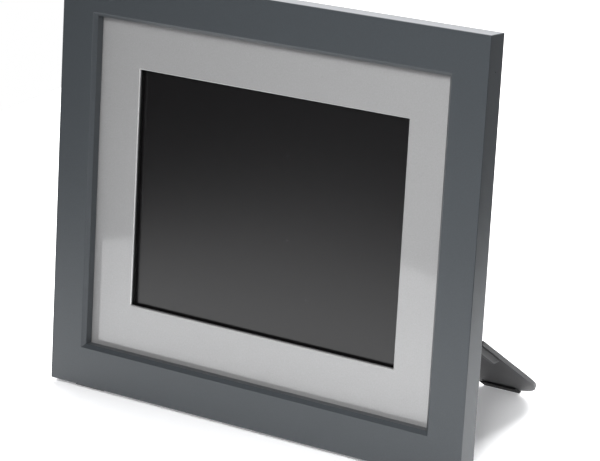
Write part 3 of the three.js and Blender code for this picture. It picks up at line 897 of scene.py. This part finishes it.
# Leg: one moulded ABS plate with a round end, two ribs beside its root and a barrel for the pin.
# It swings down to prop the frame and folds up flat behind it.
leg_slope = math.radians(38.6)
leg_half_width = 29.5
leg_thickness = 2.2
leg_corner = 26.0
leg_root = 5.5
leg_edge_round = 0.35
rib_depth = 3.0
rib_width = 2.4
rib_inset = 2.6
rib_start = 8
rib_slope_start = 28
rib_end = 32
barrel_radius = 4.0
barrel_length = 20.0
half_thickness = leg_thickness / 2
sole_thickness = 1.0
sole_overhang = 0.9
sole_drop = half_thickness + sole_thickness
pivot_rise = frame["joints"][0]["pos_m"][2] * 1000
sole_reach = (pivot_rise - sole_drop * math.cos(leg_slope)) / math.sin(leg_slope)
leg_reach = sole_reach - sole_overhang
on_leg = on_panel @ Matrix.Translation(pivot) @ Matrix.Rotation(lean - leg_slope, 4, "X")

plate = bmesh.new()
add_block(
    plate, (2 * leg_half_width, leg_reach - leg_root, leg_thickness), (0, (leg_reach + leg_root) / 2, 0),
)
round_edges(plate, [
    edge for edge in plate.edges if all(vert.co.y > leg_reach - 0.01 for vert in edge.verts)
    and abs(edge.verts[0].co.z - edge.verts[1].co.z) > 0.1
], leg_corner, 20)
rib_outline = [
    (rib_start, -half_thickness - rib_depth), (rib_slope_start, -half_thickness - rib_depth),
    (rib_end, -half_thickness), (rib_end, 0), (rib_start, 0),
]
for side in (-1, 1):
    rib = prism(rib_outline, side * (leg_half_width - rib_inset - rib_width / 2), rib_width)
    plate = combine(plate, rib, "UNION")
knuckle = bmesh.new()
add_block(knuckle, (barrel_length, leg_root + 1, leg_thickness), (0, (leg_root + 1) / 2, 0))
plate = combine(plate, knuckle, "UNION")
barrel = bmesh.new()
add_post(barrel, barrel_radius, barrel_length, (0, 0, 0), turn=along_x, segments=48)
plate = combine(plate, barrel, "UNION")
bore = bmesh.new()
add_post(bore, pin_hole, barrel_length + 2, (0, 0, 0), turn=along_x, segments=32)
plate = combine(plate, bore)

# The plate's and the ribs' sharp edges are rounded, away from the barrel.
past_ribs = 50
rims = [
    edge for edge in plate.edges
    if len(edge.link_faces) == 2 and edge.calc_face_angle() > math.radians(60) and all(
        vert.co.y > past_ribs or vert.co.y > leg_root + 1.5 and abs(vert.co.x) > barrel_length / 2 + 1
        for vert in edge.verts
    )
]
round_edges(plate, rims, leg_edge_round, 3)

# Moulded ABS of the leg: dark grey, finer and smoother than the cover, with a soft sheen. The grain
# is drawn at 0.6 mm, about twice its real size.
leg_abs = grained_surface("fine_textured_abs_leg", "#151517", "#1e1e20", 0.6, 0.04, 0.5, IOR=1.53)
add_piece("prop_leg", plate, leg_abs, ["leg"], "leg", on_leg)

# Leg cap: a soft rubber shoe pushed over the middle of the leg's end, with a sole cut level with
# the table.
shoe_width = 21.4
shoe_gap = 0.3
shoe_round = 0.2
shoe_grip_below = 5
shoe_grip_above = 4
sole_flat = 1.5
heel_reach = sole_reach + sole_flat * math.cos(leg_slope)
slot_end = leg_reach + shoe_gap
slot_half = half_thickness + shoe_gap
shoe = prism([
    (leg_reach - shoe_grip_below, -slot_half), (leg_reach - shoe_grip_below, -sole_drop),
    (sole_reach, -sole_drop), (heel_reach, -sole_drop + sole_flat * math.sin(leg_slope)),
    (heel_reach, sole_drop), (leg_reach - shoe_grip_above, sole_drop),
    (leg_reach - shoe_grip_above, slot_half), (slot_end, slot_half), (slot_end, -slot_half),
], 0, shoe_width)
round_edges(shoe, [edge for edge in shoe.edges if edge.calc_length() > 1.2], shoe_round, 3)

# Soft rubber: black and dull, with a faint paler bloom. Its grain is drawn at 0.7 mm, a few times
# its real size.
rubber = grained_surface("soft_black_rubber", "#141414", "#222222", 0.7, 0.05, 0.8, IOR=1.52)
add_piece("rubber_leg_shoe", shoe, rubber, ["leg_pad"], "leg", on_leg)

# Feet: two strips of the same rubber, glued under the picture frame and cut level with the table,
# so that the frame doesn't slide.
foot_front = 4.5
foot_back = 11
foot_offset = 104
foot_length = 20
foot_gap = 0.3
foot_corner = 0.8
panel_rise = (on_panel @ Vector((0, 0, -frame_half_height))).z * 1000


def table_level(depth):
    """Height of the table on the panel, at a depth behind the face."""
    return (depth * math.sin(lean) - panel_rise) / math.cos(lean) - frame_half_height


for side, where in ((-1, "left"), (1, "right")):
    top = -frame_half_height - foot_gap
    foot = prism([
        (foot_front, top), (foot_front, table_level(foot_front)),
        (foot_back, table_level(foot_back)), (foot_back, top),
    ], side * foot_offset, foot_length)
    round_edges(foot, [
        edge for edge in foot.edges if abs(edge.verts[0].co.z - edge.verts[1].co.z) > 0.1
    ], foot_corner, 4)
    add_piece(f"rubber_foot_{where}", foot, rubber, [f"foot_{where}"])

# Inside: the display's pressed steel, the backlight, the boards with their parts, the sockets,
# the speakers and the hanger plates keep their CAD shapes and get their real finishes. Their grains
# are drawn a few times their real size.

# Glass-filled nylon and epoxy: black, with a fine dull grain.
black_nylon = grained_surface("glass_filled_nylon", "#101011", "#1d1d1f", 0.6, 0.03, 0.5, IOR=1.53)
# Opal acrylic and polyester sheet: milk white with a soft sheen.
opal = grained_surface("opal_acrylic_sheet", "#e9e9e4", "#f5f5f1", 1.0, 0.01, 0.35, IOR=1.49)
# Fluorescent tube: thin glass with a white powder coat inside.
lamp_glass = grained_surface("coated_lamp_glass", "#eeeef2", "#fafaff", 0.4, 0.005, 0.12, IOR=1.5)
# Copper foil and enamelled wire: orange-brown with a fine wound grain.
copper = plated_metal("enamelled_copper", "#8f5526", "#c07a3c", 0.35, 0.5)

# Solder-resist on glass-epoxy board: glossy green over a faint net of copper tracks.
laminate, tree, place = new_look("green_solder_resist")
tracks = add_node(
    tree, "ShaderNodeTexBrick", {"Vector": place}, Scale=1000 / 6, Mortar_Size=0.04,
    Color1=linear("#17492b"), Color2=linear("#1d5532"), Mortar=linear("#3c7a48"),
)
relief = add_node(
    tree, "ShaderNodeBump", {"Height": tracks.outputs["Fac"]}, Strength=0.3, Distance=0.00004,
)
finish_look(
    tree, {"Base Color": tracks.outputs["Color"], "Normal": relief.outputs["Normal"]},
    Roughness=0.3, IOR=1.55,
)

finishes = {
    "plated_steel": nickel, "zinc_plate": zinc, "diffuser_plastic": opal, "lamp_glass": lamp_glass,
    "circuit_board": laminate, "black_moulding": black_nylon, "copper": copper,
    "frame_metal": lacquer, "mat_silver": silver, "black_foam": foam, "display_surface": film,
    "cover_plastic": cover_abs, "leg_plastic": leg_abs, "key_plastic": key_abs, "rubber": rubber,
}
for row in frame["record"]["subparts"]:
    node = frame["nodes"][row["node"]]
    node.data.materials.clear()
    node.data.materials.append(finishes[row["material_slot"]])
